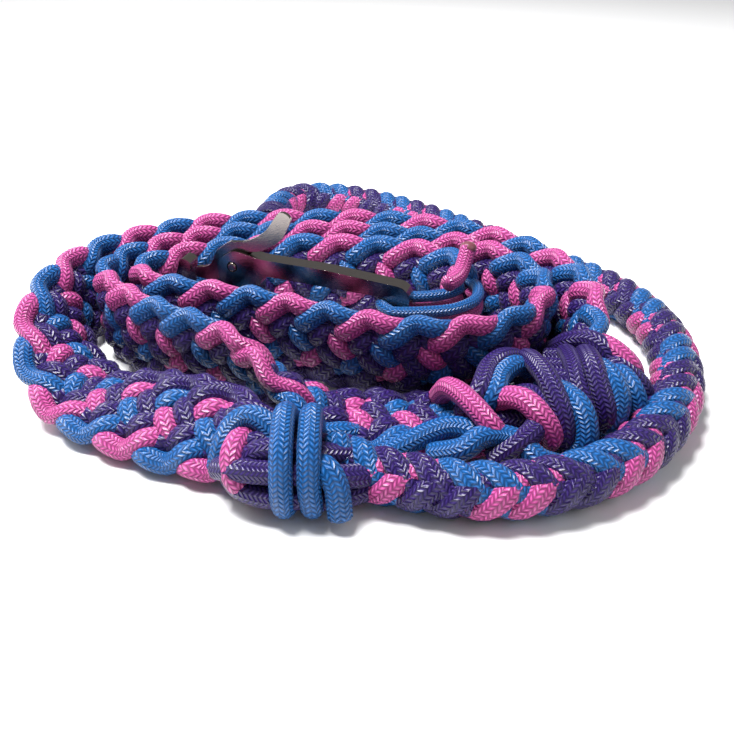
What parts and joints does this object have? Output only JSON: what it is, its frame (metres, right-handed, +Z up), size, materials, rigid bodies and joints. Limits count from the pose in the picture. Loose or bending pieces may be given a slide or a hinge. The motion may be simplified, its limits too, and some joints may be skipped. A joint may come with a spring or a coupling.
{
  "type": "braided lead rope with trigger snap",
  "caption": "Coiled lead rope plaited from glossy cords: a wide flat plait, two knots, a round plait and a metal trigger snap held by folded cords.",
  "frame": {"origin": "on the ground, in the middle of the coil's outline", "axes": "+Z up, -Y the side with the front knot, +X the side with the side knot"},
  "size_m": [0.177, 0.1925, 0.0413],
  "materials": {
    "flat_cord": "glossy woven nylon cords in pink, blue and purple, plaited flat",
    "round_cord": "glossy woven nylon cords in pink, blue and purple, plaited round",
    "pink_cord": "glossy woven nylon, pink",
    "blue_cord": "glossy woven nylon, blue",
    "purple_cord": "glossy woven nylon, deep purple",
    "gunmetal": "polished dark plated casting",
    "spring_wire": "bare spring wire"
  },
  "bodies": {
    "rope": {"flat_braid_outer_turn": "flat_cord", "flat_braid_middle_turn": "flat_cord", "flat_braid_inner_turn": "flat_cord", "flat_braid_end": "flat_cord", "round_braid": "round_cord", "front_knot": "purple_cord", "front_knot_wrap_left": "blue_cord", "front_knot_wrap_right": "blue_cord", "front_knot_tail": "blue_cord", "side_knot": "purple_cord", "side_knot_loop": "blue_cord", "end_whipping": "blue_cord", "melted_cord_ends": "purple_cord", "eye_tail": "pink_cord", "blue_bight": "blue_cord", "pink_bight": "pink_cord", "purple_bight_low": "purple_cord", "purple_bight_high": "purple_cord"},
    "snap": {"snap_body": "gunmetal", "trigger_rivet": "gunmetal", "trigger_spring": "spring_wire"},
    "trigger": {"snap_trigger": "gunmetal"}
  },
  "joints": [
    {"name": "snap_swing", "type": "hinge", "parent": "rope", "child": "snap", "pos_m": [0.01, -0.0294, 0.014], "axis": [0.0621, -0.0176, 0.9979], "range_deg": [0, 2.5]},
    {"name": "trigger_hinge", "type": "hinge", "parent": "snap", "child": "trigger", "pos_m": [-0.03346, -0.01711, 0.02534], "axis": [-0.2723, -0.9622, 0], "range_deg": [0, 20], "stiffness_Nm_per_rad": 0.02, "springref_deg": -17.19}
  ]
}
